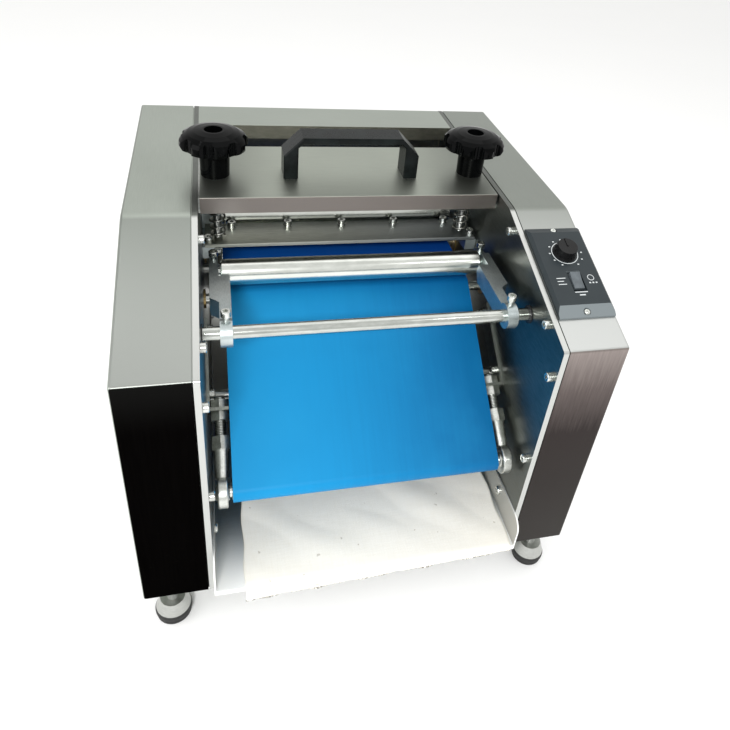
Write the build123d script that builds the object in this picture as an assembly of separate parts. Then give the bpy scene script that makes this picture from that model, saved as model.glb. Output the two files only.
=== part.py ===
"""Bench-top dough sheeter: millimetres, X across, Y front to back, Z up.

Shapes are drawn in machine axes: X = 0 on the centre line, Y = 0 at the front
of the side casings, Z = 0 under the casings.  save() moves each piece to the
export frame, whose origin is under the middle of the whole machine.
"""
import os
from math import asin, atan2, cos, degrees, hypot, pi, sin, sqrt, tan

from build123d import *

# ---- Body ---------------------------------------------------------------
INNER_GAP = 292.0        # clear width between the two side plates
DEPTH = 415.0            # casing front to casing back
HEIGHT = 310.0           # casing bottom to casing top, without feet
CASING_W = 58.0          # one side casing, outside its side plate
PLATE_T = 5.0            # side plate thickness
SHEET_T = 1.5            # folded sheet covers
SLOPE_RUN = 158.0        # front of the casings to the knee of the slope
NOSE_DROP = 51.0         # how far the slope falls to the front
KNEE_R = 30.0            # soft bend at the knee
NOSE_R = 3.0             # bend at the top front edge
FOOT_H = 50.0            # floor to casing bottom
TRAY_OUT = 15.0          # base tray in front of the casings
TRAY_Z = 18.0            # top of the tray floor

# ---- Rollers and belt ---------------------------------------------------
BELT_W = 252.8
BELT_T = 1.5
FIT = 0.05               # radial running clearance
BELT_GAP = 0.3           # between a roller and the belt round it
SHEET_GAP = 1.0          # dough gap at the closed position
OPEN_TRAVEL = 5.0        # how far the carriage lifts
R_FRONT = 8.0
R_SUPPORT = 11.0
R_REAR = 20.0
R_UPPER = 25.0
R_PRESS = 12.5
ARM_REACH = 98.6         # pivot rod to press roller
ROLLER_HALF = 128.0

# ---- Hardware -----------------------------------------------------------
KNOB_D = 64.0
STUD_D = 8.0
THREAD_PITCH = 1.25
KNOB_H = 45.0
KNOB_LOBES = 8
HANDLE_X = 1.3           # handle centre, right of the middle
HANDLE_L = 134.5
HANDLE_D = 27.0
HANDLE_H = 42.0
HANDLE_BAR = 6.5         # thickness of the grip bar
HANDLE_LEG = 14.0
PANEL_W = 55.0
PANEL_L = 103.5
PANEL_T = 6.0            # face height above the slope
PANEL_END_LOW = 11.0     # sloped end towards the front
PANEL_END_HIGH = 8.0
PANEL_SEAT = 2.8         # screw seats above the slope
ROD_D = 12.0
GEAR_TEETH = 19
GEAR_MODULE = 2.5
CLOTH_T = 1.4

# ---- Derived places (machine axes) --------------------------------------
HALF = INNER_GAP / 2
PLATE_OUT = HALF + PLATE_T
CASE_IN = PLATE_OUT + 1.0
CASE_OUT = PLATE_OUT + CASING_W
NOSE_Z = HEIGHT - NOSE_DROP
SLOPE_ANGLE = atan2(NOSE_DROP, SLOPE_RUN)

NIP_Y = DEPTH - 123.0
REAR_Y = DEPTH - 75.0
SUPPORT_Y = NIP_Y - 107.0
FRONT_Y = 31.0
FRONT_Z = 96.0
BELT_TOP_Z = HEIGHT - 97.7
REAR_Z = BELT_TOP_Z - BELT_T - BELT_GAP - R_REAR
SUPPORT_Z = BELT_TOP_Z - BELT_T - BELT_GAP - R_SUPPORT
UPPER_Z = BELT_TOP_Z + SHEET_GAP + R_UPPER
CARRIAGE_Z = HEIGHT - 70.0
INCLINE = atan2(SUPPORT_Z - FRONT_Z, SUPPORT_Y - FRONT_Y)
INCLINE_L = hypot(SUPPORT_Z - FRONT_Z, SUPPORT_Y - FRONT_Y)
RETURN_SLOPE = atan2(REAR_Z - FRONT_Z, REAR_Y - FRONT_Y)
LOW_BAR_OUT = 87.0       # low tie bar behind the front roller, between the two belt runs

PRESS_Y = SUPPORT_Y - 14.0
PRESS_Z = HEIGHT - 70.5
ROD_Y = PRESS_Y - ARM_REACH
ROD_Z = HEIGHT - 65.0
ARM_X = HALF - 25.0

BRIDGE_Y0 = NIP_Y - 105.0
BRIDGE_Y1 = NIP_Y + 10.0
STUD_X = HALF - 16.0
STUD_Y = NIP_Y - 54.0
COVER_Y0 = DEPTH - 55.0
TENSION_X = HALF - 11.0
FOOT_X = PLATE_OUT + 35.0
FOOT_Y = 16.5

Y_LOW = -(TRAY_OUT + CLOTH_T)
Y_HIGH = DEPTH + 2.0
EXPORT_SHIFT = Pos(0, -(Y_LOW + Y_HIGH) / 2, FOOT_H)


# ---- Small helpers ------------------------------------------------------
def block(x0, x1, y0, y1, z0, z1):
    """Box between two corners."""
    return Pos((x0 + x1) / 2, (y0 + y1) / 2, (z0 + z1) / 2) * Box(x1 - x0, y1 - y0, z1 - z0)


def bar_x(radius, x0, x1, y, z):
    """Round bar along X."""
    return Pos((x0 + x1) / 2, y, z) * Rot(0, 90, 0) * Cylinder(radius, x1 - x0)


def bar_z(radius, x, y, z0, z1):
    """Round bar along Z."""
    return Pos(x, y, (z0 + z1) / 2) * Cylinder(radius, z1 - z0)


def tube_z(outer, inner, x, y, z0, z1):
    """Ring along Z."""
    return bar_z(outer, x, y, z0, z1) - bar_z(inner, x, y, z0 - 1, z1 + 1)


def profile(points, x0, x1):
    """Solid with a (Y, Z) outline between two X planes."""
    plane = Plane(origin=(x0, 0, 0), x_dir=(0, 1, 0), z_dir=(1, 0, 0))
    face = plane * make_face(Polyline(*points, close=True))
    return extrude(face, amount=x1 - x0, dir=(1, 0, 0))


def side_outline(x0, x1):
    """Side shape of a casing between two X planes, bends rounded."""
    body = profile(SIDE, x0, x1)
    bends = body.edges().filter_by(Axis.X).group_by(Axis.Z)
    body = fillet(bends[-1].sort_by(Axis.Y)[0], KNEE_R)
    nose = [e for e in body.edges().filter_by(Axis.X) if abs(e.center().Z - NOSE_Z) < 1 and e.center().Y < 1]
    return fillet(nose, NOSE_R)


def outline(points, z0, z1):
    """Solid with an (X, Y) outline between two heights."""
    face = Pos(0, 0, z0) * make_face(Polyline(*points, close=True))
    return extrude(face, amount=z1 - z0, dir=(0, 0, 1))


def inset(points, distance):
    """Convex outline moved inwards by a distance; points run one way round."""
    count = len(points)
    area = sum(points[i][0] * points[(i + 1) % count][1] - points[(i + 1) % count][0] * points[i][1]
               for i in range(count))
    turn = 1 if area > 0 else -1
    lines = []
    for i in range(count):
        (ax, ay), (bx, by) = points[i], points[(i + 1) % count]
        length = hypot(bx - ax, by - ay)
        ux, uy = (bx - ax) / length, (by - ay) / length
        lines.append((ax - turn * uy * distance, ay + turn * ux * distance, ux, uy))
    moved = []
    for i in range(count):
        px, py, ux, uy = lines[i - 1]
        qx, qy, vx, vy = lines[i]
        step = ((qx - px) * vy - (qy - py) * vx) / (ux * vy - uy * vx)
        moved.append((px + ux * step, py + uy * step))
    return moved


def mirrored(shape):
    """The same piece for the other side."""
    return shape.mirror(Plane.YZ)


def both_sides(shape):
    """A right-hand shape and its mirror image as one group."""
    return group(shape, mirrored(shape))


def group(*shapes):
    """Separate solids kept in one piece."""
    solids = []
    for shape in shapes:
        solids.extend(shape.solids())
    return Compound(solids)


def hexagon(across_flats, z0, z1, turn=0.0):
    """Hexagonal prism on the Z axis; flats face +X and -X at turn 0."""
    corner = across_flats / sqrt(3)
    points = [(corner * cos(pi / 2 + k * pi / 3), corner * sin(pi / 2 + k * pi / 3)) for k in range(6)]
    return Rot(0, 0, turn) * outline(points, z0, z1)


def cap_screw(size, length, stand=0.0, washer=0.0):
    """Socket-head screw along Z: shank below 0, head above washer and stand."""
    head_r, head_h = size * 0.85, size
    under = stand + washer
    screw = bar_z(head_r, 0, 0, under, under + head_h)
    screw = chamfer(screw.edges().group_by(Axis.Z)[-1], size * 0.12)
    screw -= hexagon(size * 0.8, under + head_h * 0.45, under + head_h + 1)
    screw += bar_z(size / 2, 0, 0, -length, under)
    if washer:
        screw += bar_z(size, 0, 0, 0, washer)
    return screw


def pan_screw(size, length):
    """Low domed screw along Z with a cross slot."""
    screw = bar_z(size * 0.95, 0, 0, 0, size * 0.6)
    screw = fillet(screw.edges().group_by(Axis.Z)[-1], size * 0.35)
    slot = block(-size * 0.6, size * 0.6, -size * 0.09, size * 0.09, size * 0.35, size)
    screw -= slot
    screw -= Rot(0, 0, 90) * slot
    return screw + bar_z(size / 2, 0, 0, -length, 0)


def wall_place(y, z, side=1):
    """Frame on an inner wall of the machine, +Z pointing to the middle."""
    return Location(Plane(origin=(side * HALF, y, z), x_dir=(0, 1, 0), z_dir=(-side, 0, 0)))


def slope_frame(x, along, lift=0.0):
    """Frame on the slope: X across, Y up the slope from the knee downwards."""
    y = SLOPE_RUN - along * cos(SLOPE_ANGLE) - lift * sin(SLOPE_ANGLE)
    z = HEIGHT - along * sin(SLOPE_ANGLE) + lift * cos(SLOPE_ANGLE)
    return Location(Plane(origin=(x, y, z), x_dir=(1, 0, 0), z_dir=(0, -sin(SLOPE_ANGLE), cos(SLOPE_ANGLE))))


def incline_frame(x, along, above=0.0):
    """Frame on the belt incline: +Z runs up the incline, +X across."""
    y = FRONT_Y + along * cos(INCLINE) - above * sin(INCLINE)
    z = FRONT_Z + along * sin(INCLINE) + above * cos(INCLINE)
    return Location(Plane(origin=(x, y, z), x_dir=(1, 0, 0), z_dir=(0, cos(INCLINE), sin(INCLINE))))


def save(shape, node):
    """Write one piece in the export frame."""
    export_step(EXPORT_SHIFT * shape, f"parts/{node}.step")


# ---- Body pieces --------------------------------------------------------
SIDE = [(0, 0), (0, NOSE_Z), (SLOPE_RUN, HEIGHT), (DEPTH, HEIGHT), (DEPTH, 0)]
TOP_SCREW_Y = BRIDGE_Y0 - 45.5      # keeps clear of the bridge, just under the slope
TOP_SCREW_Z = NOSE_Z + TOP_SCREW_Y * NOSE_DROP / SLOPE_RUN - 10.7
WALL_SCREWS = [(TOP_SCREW_Y, TOP_SCREW_Z), (34.5, NOSE_Z + 3.5), (8.5, NOSE_Z - 34.0), (8.5, NOSE_Z - 138.0),
               (DEPTH - 8.5, HEIGHT - 60.0), (DEPTH - 8.5, 60.0)]
TRAY_SCREWS = [(38.0, 38.0), (DEPTH - 45.0, 38.0)]
SHAFT_HOLES = [(SUPPORT_Y, SUPPORT_Z, 8.0), (NIP_Y, REAR_Z, 14.0), (REAR_Y, REAR_Z, 14.0)]
LOW_BAR_Z = FRONT_Z + LOW_BAR_OUT * (tan(INCLINE) + tan(RETURN_SLOPE)) / 2 - 6.5
TIE_BARS = [(SUPPORT_Y + 48.0, BELT_TOP_Z - 9.5, 5.0), (FRONT_Y + LOW_BAR_OUT, LOW_BAR_Z, 5.0)]
BRIDGE_BOLTS = [BRIDGE_Y0 + 20.0, BRIDGE_Y1 - 20.0]
COVER_BOLTS = [(DEPTH - 12.0, HEIGHT - 40.0), (DEPTH - 12.0, HEIGHT / 2)]


def side_plate(right):
    plate = side_outline(HALF, PLATE_OUT)
    for y, z in WALL_SCREWS:
        plate -= bar_x(2.5, HALF - 1, PLATE_OUT + 1, y, z)
    for y, z in TRAY_SCREWS:
        plate -= bar_x(2.5, HALF - 1, PLATE_OUT + 1, y, z)
    for y, z, radius in SHAFT_HOLES:
        plate -= bar_x(radius, HALF - 1, PLATE_OUT + 1, y, z)
    for y, z, radius in TIE_BARS:
        plate -= bar_x(radius, HALF - 1, HALF + 3, y, z)
    plate -= bar_x(7.5, HALF - 1, PLATE_OUT + 1, ROD_Y, ROD_Z)
    for along in BRACKET_SCREWS:
        y = FRONT_Y + along * cos(INCLINE)
        z = FRONT_Z + along * sin(INCLINE)
        plate -= bar_x(2.5, HALF - 1, HALF + 4, y, z)
    for y in BRIDGE_BOLTS:
        plate -= bar_x(2.5, HALF - 1, HALF + 4, y, HEIGHT - 11.0)
    if right:
        return plate
    slot = profile([(NIP_Y - 9, UPPER_Z - 9), (NIP_Y - 9, UPPER_Z + OPEN_TRAVEL + 9),
                    (NIP_Y + 9, UPPER_Z + OPEN_TRAVEL + 9), (NIP_Y + 9, UPPER_Z - 9)], HALF - 1, PLATE_OUT + 1)
    return mirrored(plate - slot)


def casing(right):
    """Folded cover, open towards its side plate, with an inner fixing lip."""
    shell = side_outline(CASE_IN, CASE_OUT)
    shell = fillet(shell.faces().sort_by(Axis.X)[-1].edges(), 2.5)
    shell -= profile(inset(SIDE, SHEET_T), CASE_IN - 1, CASE_OUT - SHEET_T)
    lip = profile(inset(SIDE, SHEET_T / 2), CASE_IN, CASE_IN + SHEET_T)
    lip += profile(inset(SIDE, SHEET_T), PLATE_OUT, CASE_IN)
    lip -= profile(inset(SIDE, 17.0), PLATE_OUT - 1, CASE_IN + 4)
    shell += lip
    for y, z in WALL_SCREWS:
        shell -= bar_x(2.5, PLATE_OUT - 1, CASE_IN + 4, y, z)
    for y in (FOOT_Y, DEPTH - FOOT_Y):
        shell -= bar_z(5.0, FOOT_X, y, -1, 4)
    if right:
        window = Box(PANEL_W - 10, PANEL_L - 17, 8)
        shell -= slope_frame(PANEL_X, PANEL_FROM + PANEL_L / 2) * window
        for along in PANEL_SCREWS:
            shell -= slope_frame(PANEL_X, along) * Cylinder(1.5, 8)
        shell -= block(CASE_IN + 14, CASE_IN + 42, DEPTH - 4, DEPTH + 1, 40, 61)
        return shell
    return mirrored(shell)


def rear_cover():
    """Top strip with a folded front wall, and the panel across the back."""
    wall = block(-HALF, HALF, COVER_Y0, COVER_Y0 + SHEET_T, HEIGHT - 16, HEIGHT)
    top = block(-HALF, HALF, COVER_Y0, DEPTH, HEIGHT - SHEET_T, HEIGHT)
    back = block(-HALF, HALF, DEPTH - SHEET_T, DEPTH, 52, HEIGHT)
    cover = wall + top + back
    for z in (HEIGHT - 1,):
        cover = chamfer(cover.edges().filter_by(Axis.X).group_by(Axis.Z)[-1], 0.6)
    ears = block(HALF - SHEET_T, HALF, DEPTH - 24, DEPTH - SHEET_T, HEIGHT - 52, HEIGHT - 28)
    ears += block(HALF - SHEET_T, HALF, DEPTH - 24, DEPTH - SHEET_T, HEIGHT / 2 - 12, HEIGHT / 2 + 12)
    cover += ears + mirrored(ears)
    return cover


def base_tray():
    """Channel under the belt: floor, low side flanges and a folded front lip."""
    floor = block(-HALF, HALF, -TRAY_OUT, DEPTH - 1, TRAY_Z - SHEET_T, TRAY_Z)
    lip = block(-HALF, HALF, -TRAY_OUT, -TRAY_OUT + SHEET_T, TRAY_Z - 6, TRAY_Z)
    flange = profile([(-TRAY_OUT, TRAY_Z - SHEET_T), (-TRAY_OUT, 50), (DEPTH - 1, 50),
                      (DEPTH - 1, TRAY_Z - SHEET_T)], HALF - SHEET_T, HALF)
    front_top = flange.edges().filter_by(Axis.X).sort_by(Axis.Y)[:2].sort_by(Axis.Z)[-1]
    flange = fillet(front_top, 14.0)
    tray = floor + lip + flange + mirrored(flange)
    for y, z in TRAY_SCREWS:
        tray -= bar_x(2.5, -HALF - 1, HALF + 1, y, z)
    return tray


def feet():
    """Four levelling feet: studs with nuts, metal cones and rubber pads."""
    places = [(sx * FOOT_X, y) for sx in (1, -1) for y in (FOOT_Y, DEPTH - FOOT_Y)]
    studs, cones, pads = [], [], []
    for x, y in places:
        stud = bar_z(5.0, x, y, -FOOT_H + 12, 16)
        stud += Pos(x, y, 0) * hexagon(17, -8, 0)
        stud += Pos(x, y, 0) * hexagon(17, SHEET_T, SHEET_T + 8)
        studs.append(stud)
        cone = Pos(x, y, -FOOT_H + 16.5) * Cone(17.0, 11.5, 15)
        cone += bar_z(17.0, x, y, -FOOT_H + 7, -FOOT_H + 9)
        cone -= bar_z(5.0, x, y, -FOOT_H + 12, 0)
        cones.append(cone)
        pad = bar_z(16.0, x, y, -FOOT_H, -FOOT_H + 7)
        pads.append(chamfer(pad.edges().group_by(Axis.Z)[0], 1.2))
    save(group(*studs), "foot_studs")
    save(group(*cones), "foot_cones")
    save(group(*pads), "foot_pads")


# ---- Press bridge, knobs and carriage -----------------------------------
SCREW_ROW = [(-2 + k) * (INNER_GAP - 60) / 4 for k in range(5)]
HANDLE_LEG_X = [HANDLE_X + side * (HANDLE_L - HANDLE_LEG) / 2 for side in (1, -1)]


def press_bridge():
    """Folded top plate that spans the side plates on two support blocks."""
    edge = HALF - 1.5
    plate = block(-edge, edge, BRIDGE_Y0, BRIDGE_Y1, HEIGHT - 2, HEIGHT)
    plate += block(-edge, edge, BRIDGE_Y0, BRIDGE_Y0 + 2, HEIGHT - 16, HEIGHT)
    plate += block(-edge, edge, BRIDGE_Y1 - 2, BRIDGE_Y1, HEIGHT - 16, HEIGHT)
    plate = fillet(plate.edges().filter_by(Axis.X).group_by(Axis.Z)[-1], 0.9)
    for side in (1, -1):
        plate -= bar_z(STUD_D / 2 + 0.5, side * STUD_X, STUD_Y, HEIGHT - 5, HEIGHT + 1)
    for x in HANDLE_LEG_X:
        plate -= bar_z(3.0, x, STUD_Y, HEIGHT - 5, HEIGHT + 1)
    return plate


def bridge_blocks():
    """Ledges on the side plates that carry the bridge."""
    ledge = block(HALF - 5, HALF, BRIDGE_Y0 + 5, BRIDGE_Y1 - 5, HEIGHT - 18, HEIGHT - 2)
    for y in BRIDGE_BOLTS:
        ledge -= bar_x(2.5, HALF - 6, HALF + 1, y, HEIGHT - 11.0)
        ledge -= bar_x(4.5, HALF - 6, HALF - 2, y, HEIGHT - 11.0)
    return both_sides(ledge)


def bridge_bolts():
    bolts = []
    for y in BRIDGE_BOLTS:
        bolt = bar_x(2.5, HALF - 2, HALF + 4, y, HEIGHT - 11.0) + bar_x(4.2, HALF - 4.7, HALF - 2, y, HEIGHT - 11.0)
        bolts.append(bolt)
    return both_sides(group(*bolts))


def bridge_handle():
    """Bridge handle with sloped outer corners and a thin grip bar."""
    half, slope, under = HANDLE_L / 2, 18.0, HANDLE_H - HANDLE_BAR
    outer = [(-half, 0), (-half, HANDLE_H - slope), (-half + slope, HANDLE_H), (half - slope, HANDLE_H),
             (half, HANDLE_H - slope), (half, 0)]
    leg = half - HANDLE_LEG
    inner = [(-leg, -1), (-leg, under - 4), (-leg + 4, under), (leg - 4, under), (leg, under - 4), (leg, -1)]
    plane = Plane(origin=(HANDLE_X, STUD_Y + HANDLE_D / 2, HEIGHT), x_dir=(1, 0, 0), z_dir=(0, -1, 0))
    body = extrude(plane * make_face(Polyline(*outer, close=True)), amount=HANDLE_D)
    body -= extrude(plane * make_face(Polyline(*inner, close=True)), amount=HANDLE_D)
    long_edges = [e for e in body.edges().filter_by(GeomType.LINE)
                  if abs(e.tangent_at(0).Y) < 0.1 and e.center().Z > HEIGHT + 1]
    body = chamfer(long_edges, 1.2)
    for x in HANDLE_LEG_X:
        body -= bar_z(3.0, x, STUD_Y, HEIGHT - 1, HEIGHT + 16)
    return body


def handle_screws():
    screws = []
    for x in HANDLE_LEG_X:
        screw = bar_z(3.0, x, STUD_Y, HEIGHT - 2, HEIGHT + 14)
        screw += bar_z(5.5, x, STUD_Y, HEIGHT - 6, HEIGHT - 2)
        screws.append(screw)
    return group(*screws)


def knob(side):
    """Lobed hand knob with a drooping crown on a tall hub, threaded on its stud."""
    radius = KNOB_D / 2
    section = [(0, 0), (13.6, 0), (14.4, KNOB_H - 18), (radius - 4, KNOB_H - 17.5), (radius - 1.5, KNOB_H - 16.5),
               (radius, KNOB_H - 13), (radius - 0.6, KNOB_H - 9), (radius - 3, KNOB_H - 5.5), (radius - 8, KNOB_H - 2.6),
               (radius - 14, KNOB_H - 0.9), (10.5, KNOB_H), (0, KNOB_H)]
    crown = revolve(Plane.XZ * make_face(Polyline(*section, close=True)), Axis.Z)
    star = bar_z(radius - 5, 0, 0, -1, KNOB_H + 1)
    for k in range(KNOB_LOBES):
        angle = 2 * pi * (k + 0.3) / KNOB_LOBES
        star += bar_z(7.6, (radius - 7.6) * cos(angle), (radius - 7.6) * sin(angle), -1, KNOB_H + 1)
    for k in range(KNOB_LOBES):
        angle = 2 * pi * (k + 0.8) / KNOB_LOBES
        star -= bar_z(4.6, (radius - 0.6) * cos(angle), (radius - 0.6) * sin(angle), -2, KNOB_H + 2)
    body = crown & star
    body -= bar_z(8.5, 0, 0, KNOB_H - 6, KNOB_H + 5)
    body -= bar_z(STUD_D / 2 + FIT, 0, 0, -1, KNOB_H - 5)
    return Pos(side * STUD_X, STUD_Y, HEIGHT) * body


def knob_stud(side):
    """Threaded stud fixed in the carriage plate."""
    stud = bar_z(STUD_D / 2, side * STUD_X, STUD_Y, CARRIAGE_Z - 4, HEIGHT + 28)
    stud += Pos(side * STUD_X, STUD_Y, CARRIAGE_Z - 4) * hexagon(13, -5, 0)
    return stud


def spring(side):
    """Open coil spring with ground ends between carriage and bridge."""
    low, high, wire, mean = CARRIAGE_Z, HEIGHT - 2, 1.0, 7.2
    turns = 9
    pitch = (high - low + 1.0) / turns
    path = Helix(pitch=pitch, height=pitch * turns, radius=mean)
    start = Plane(origin=path @ 0, z_dir=path % 0)
    coil = sweep(start * Circle(wire), path=path, is_frenet=True)
    coil = Pos(side * STUD_X, STUD_Y, low - 0.5) * coil
    keep = block(side * STUD_X - 12, side * STUD_X + 12, STUD_Y - 12, STUD_Y + 12, low, high)
    return coil & keep


CARRIAGE_Y0 = NIP_Y - 72.0
CARRIAGE_Y1 = NIP_Y - 30.0
SCRAPER_Y1 = NIP_Y - R_UPPER + 0.8


def carriage_tray():
    """Plate across the machine that carries the scraper and both blocks."""
    edge = HALF - 3.0
    plate = block(-edge, edge, CARRIAGE_Y0, CARRIAGE_Y1, CARRIAGE_Z - 4, CARRIAGE_Z)
    plate = chamfer(plate.edges().filter_by(Axis.X).group_by(Axis.Y)[0], 0.8)
    for side in (1, -1):
        plate -= bar_z(STUD_D / 2, side * STUD_X, STUD_Y, CARRIAGE_Z - 5, CARRIAGE_Z + 1)
    for x in SCREW_ROW:
        plate -= bar_z(2.5, x, CARRIAGE_Y1 - 6, CARRIAGE_Z - 5, CARRIAGE_Z + 1)
    for side in (1, -1):
        plate -= bar_z(2.5, side * (HALF - 6.5), CARRIAGE_Y0 + 9, CARRIAGE_Z - 5, CARRIAGE_Z + 1)
    return plate


def scraper():
    """Thin blade under the plate that keeps the upper roller clean."""
    edge = HALF - 26.0
    blade = block(-edge, edge, CARRIAGE_Y1 - 22, SCRAPER_Y1 - 3, CARRIAGE_Z - 6, CARRIAGE_Z - 4)
    tip = profile([(SCRAPER_Y1 - 3, CARRIAGE_Z - 6), (SCRAPER_Y1 - 3, CARRIAGE_Z - 4), (SCRAPER_Y1 - 2, CARRIAGE_Z - 4)],
                  -edge, edge)
    blade += tip
    for x in SCREW_ROW:
        blade -= bar_z(2.5, x, CARRIAGE_Y1 - 6, CARRIAGE_Z - 9, CARRIAGE_Z - 1)
    return blade


def carriage_screws():
    screws = [Pos(x, CARRIAGE_Y1 - 6, CARRIAGE_Z) * cap_screw(5, 8, washer=0.8) for x in SCREW_ROW]
    for side in (1, -1):
        screws.append(Pos(side * (HALF - 6.5), CARRIAGE_Y0 + 9, CARRIAGE_Z) * cap_screw(5, 12))
    return group(*screws)


def bearing_block(side):
    """End block of the carriage with the bore of the upper roller."""
    low = CARRIAGE_Z - 4
    points = [(CARRIAGE_Y0 + 2, low - 13), (CARRIAGE_Y0 + 2, low), (CARRIAGE_Y1, low), (CARRIAGE_Y1 + 4, UPPER_Z + 21),
              (NIP_Y + 21, UPPER_Z + 21), (NIP_Y + 21, UPPER_Z - 20), (NIP_Y - 21, UPPER_Z - 20)]
    body = profile(points, HALF - 12, HALF - 0.3)
    body -= bar_x(7.5 + FIT, HALF - 13, HALF + 1, NIP_Y, UPPER_Z)
    body -= bar_z(2.5, HALF - 6.5, CARRIAGE_Y0 + 9, low - 12, low + 1)
    body -= bar_z(STUD_D / 2 + 4.2, STUD_X, STUD_Y, low - 6, low + 1)
    return body if side > 0 else mirrored(body)


# ---- Rollers ------------------------------------------------------------
def roller(radius, half, journal, x_left, x_right, y, z):
    """Turned roller with stepped journals and chamfered ends."""
    body = bar_x(radius, -half, half, y, z)
    body = chamfer(body.edges().filter_by(GeomType.CIRCLE), 0.8)
    return body + bar_x(journal, x_left, x_right, y, z)


def shaft_bearings():
    """Flanged bushes and bearing rings pressed into the side plates."""
    small = bar_x(8.0, HALF, PLATE_OUT, SUPPORT_Y, SUPPORT_Z) + bar_x(9.5, HALF - 2, HALF, SUPPORT_Y, SUPPORT_Z)
    small -= bar_x(5.0 + FIT, HALF - 3, PLATE_OUT + 1, SUPPORT_Y, SUPPORT_Z)
    rings = [small]
    for y in (NIP_Y, REAR_Y):
        ring = bar_x(14.0, HALF, PLATE_OUT, y, REAR_Z) + bar_x(16.0, HALF - 2, HALF, y, REAR_Z)
        ring -= bar_x(7.5 + FIT, HALF - 3, PLATE_OUT + 1, y, REAR_Z)
        rings.append(ring)
    return both_sides(group(*rings))


def belt_ring(offset):
    """Outline round the three belt rollers at an offset, as one face."""
    plane = Plane(origin=(0, 0, 0), x_dir=(0, 1, 0), z_dir=(1, 0, 0))
    circles = [(FRONT_Y, FRONT_Z, R_FRONT), (SUPPORT_Y, SUPPORT_Z, R_SUPPORT), (REAR_Y, REAR_Z, R_REAR)]
    edges = [(Pos(y, z) * Circle(radius + offset)).edges()[0] for y, z, radius in circles]
    return plane * make_hull(edges)


def conveyor_belt():
    ring = belt_ring(BELT_GAP + BELT_T) - belt_ring(BELT_GAP)
    return extrude(Pos(-BELT_W / 2, 0, 0) * ring, amount=BELT_W, dir=(1, 0, 0))


def belt_bed():
    """Slide plates under the top run and the incline, with their ribs."""
    top = BELT_TOP_Z - BELT_T - BELT_GAP
    flat = block(-122, 122, SUPPORT_Y + 17, NIP_Y - 26, top - 2.7, top - 1.2)
    slope = incline_frame(0, INCLINE_L / 2 - 2, R_FRONT - 2.2) * Box(244, 1.5, INCLINE_L - 50)
    y_bar, z_bar, r_bar = TIE_BARS[1]
    along = (y_bar - FRONT_Y) * cos(INCLINE) + (z_bar - FRONT_Z) * sin(INCLINE)
    above = -(y_bar - FRONT_Y) * sin(INCLINE) + (z_bar - FRONT_Z) * cos(INCLINE)
    rib_top = R_FRONT - 2.95
    rib = incline_frame(60, along, (above + rib_top) / 2) * Box(4, rib_top - above, 26)
    rib += bar_x(r_bar + 4, 58, 62, y_bar, z_bar)
    rib -= bar_x(r_bar, 50, 70, y_bar, z_bar)
    flat_bar_y, flat_bar_z, flat_bar_r = TIE_BARS[0]
    foot = block(56, 64, flat_bar_y - 9, flat_bar_y + 9, flat_bar_z - 7, top - 2.7)
    foot -= bar_x(flat_bar_r, 50, 70, flat_bar_y, flat_bar_z)
    return group(flat + foot + mirrored(foot), slope + rib + mirrored(rib))


def tie_bars():
    bars = [bar_x(radius, -HALF - 3, HALF + 3, y, z) for y, z, radius in TIE_BARS]
    return group(*bars)


# ---- Belt tensioners ----------------------------------------------------
BRACKET_TAB = 72.0
BRACKET_END = INCLINE_L - 24.0
BRACKET_SCREWS = [BRACKET_TAB + 18.0, BRACKET_END - 7.5]


def on_incline(shape, side=1):
    """Place a shape drawn along +Z on the tensioner axis of one side."""
    placed = incline_frame(TENSION_X, 0) * shape
    return placed if side > 0 else mirrored(placed)


def rod_end(side):
    """Rod-end bearing that holds the front roller, with its ball."""
    eye = Rot(0, 90, 0) * Cylinder(14.0, 9)
    eye = fillet(eye.edges().filter_by(GeomType.CIRCLE), 1.5)
    shank = Pos(0, 0, 25) * Cone(6.5, 7.5, 26)
    collar = bar_z(8.0, 0, 0, 36, 37.5) + hexagon(16, 37.5, 43)
    housing = eye + shank + collar
    housing -= Sphere(9.0)
    housing -= bar_z(5.0, 0, 0, 22, 44)
    ball = Sphere(9.0) & (Rot(0, 90, 0) * Cylinder(12, 12))
    ball -= Rot(0, 90, 0) * Cylinder(5.0 + FIT, 20)
    return on_incline(group(housing, ball), side)


def tension_stud(side):
    return on_incline(bar_z(5.0, 0, 0, 22, BRACKET_TAB + 13), side)


def tension_nuts():
    nuts = []
    for low, high in ((43.0, 49.5), (BRACKET_TAB - 8, BRACKET_TAB), (BRACKET_TAB + 3, BRACKET_TAB + 11)):
        nut = hexagon(16, low, high) & Pos(0, 0, (low + high) / 2) * Cylinder(9.0, high - low)
        nut -= bar_z(5.0, 0, 0, low - 1, high + 1)
        nuts.append(on_incline(nut))
    return both_sides(group(*nuts))


def tension_bracket(side):
    """Angle bracket: a tab across the stud and a leg screwed to the wall."""
    wall = HALF - TENSION_X
    tab = block(-8, wall, -11, 11, BRACKET_TAB, BRACKET_TAB + 3) - bar_z(5.0, 0, 0, 60, 80)
    leg = block(wall - 2.5, wall, -11, 11, BRACKET_TAB, BRACKET_END)
    for along in BRACKET_SCREWS:
        leg -= Pos(wall, 0, along) * Rot(0, 90, 0) * Cylinder(2.5, 10)
    return on_incline(tab + leg, side)


def bracket_screws():
    screws = []
    for along in BRACKET_SCREWS:
        y = FRONT_Y + along * cos(INCLINE)
        z = FRONT_Z + along * sin(INCLINE)
        place = Location(Plane(origin=(HALF - 2.5, y, z), x_dir=(0, 1, 0), z_dir=(-1, 0, 0)))
        screws.append(place * cap_screw(5, 6.5))
    return both_sides(group(*screws))


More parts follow.
